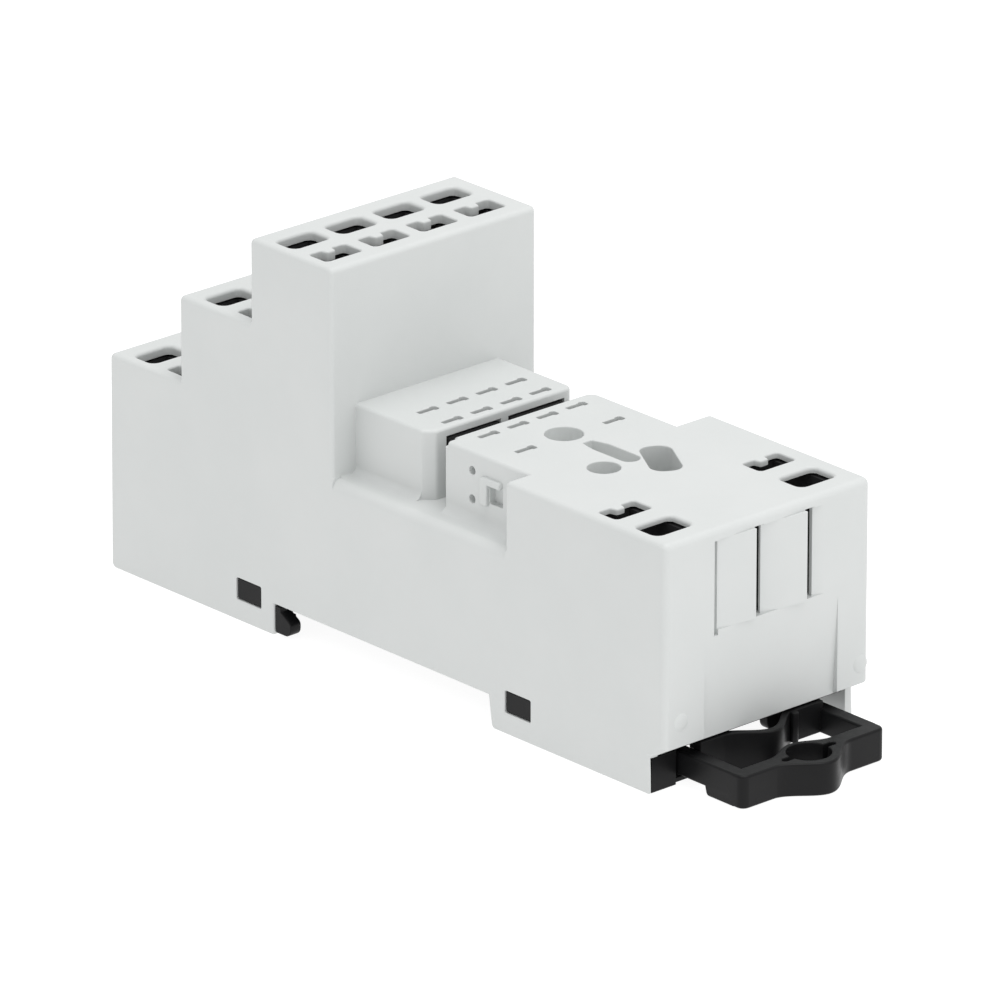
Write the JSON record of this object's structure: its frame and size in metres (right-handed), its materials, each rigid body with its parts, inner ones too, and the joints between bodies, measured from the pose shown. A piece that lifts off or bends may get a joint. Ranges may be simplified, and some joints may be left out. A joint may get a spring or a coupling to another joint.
{
  "type": "relay socket",
  "caption": "Stepped grey socket for a plug-in relay, with spring-clamp terminals on three steps and a black sprung latch that holds it on a mounting rail.",
  "frame": {"origin": "middle of the flat face under the socket that rests on the mounting rail", "axes": "+X along the socket from the stepped terminal end towards the rail latch, +Z away from the rail towards the relay, +Y across the socket"},
  "size_m": [0.1012, 0.03, 0.0456],
  "materials": {
    "grey_housing": "fine satin moulded surface",
    "black_carrier": "matt",
    "black_frame": "satin",
    "black_latch": "satin",
    "latch_spring_wire": "bright drawn wire",
    "clamp_spring_steel": "bright rolled strip",
    "tinned_copper": "dull tin plating over copper"
  },
  "bodies": {
    "socket": {"base_frame": "black_frame", "clamp_spring_coil_1": "clamp_spring_steel", "clamp_spring_coil_2": "clamp_spring_steel", "clamp_spring_lower_1": "clamp_spring_steel", "clamp_spring_lower_2": "clamp_spring_steel", "clamp_spring_lower_3": "clamp_spring_steel", "clamp_spring_lower_4": "clamp_spring_steel", "clamp_spring_middle_1": "clamp_spring_steel", "clamp_spring_middle_2": "clamp_spring_steel", "clamp_spring_middle_3": "clamp_spring_steel", "clamp_spring_middle_4": "clamp_spring_steel", "clamp_spring_upper_1": "clamp_spring_steel", "clamp_spring_upper_2": "clamp_spring_steel", "clamp_spring_upper_3": "clamp_spring_steel", "clamp_spring_upper_4": "clamp_spring_steel", "contact_bar_coil_1": "tinned_copper", "contact_bar_coil_2": "tinned_copper", "contact_bar_lower_1": "tinned_copper", "contact_bar_lower_2": "tinned_copper", "contact_bar_lower_3": "tinned_copper", "contact_bar_lower_4": "tinned_copper", "contact_bar_middle_1": "tinned_copper", "contact_bar_middle_2": "tinned_copper", "contact_bar_middle_3": "tinned_copper", "contact_bar_middle_4": "tinned_copper", "contact_bar_upper_1": "tinned_copper", "contact_bar_upper_2": "tinned_copper", "contact_bar_upper_3": "tinned_copper", "contact_bar_upper_4": "tinned_copper", "contact_carrier": "black_carrier", "housing": "grey_housing", "latch_spring": "latch_spring_wire"},
    "latch": {"rail_latch": "black_latch"}
  },
  "joints": [
    {"name": "latch_slide", "type": "slide", "parent": "socket", "child": "latch", "axis": [1, 0, 0], "range_m": [0, 0.0035], "stiffness_N_per_m": 1500, "springref_m": -0.004, "deforming": ["latch_spring"]}
  ]
}
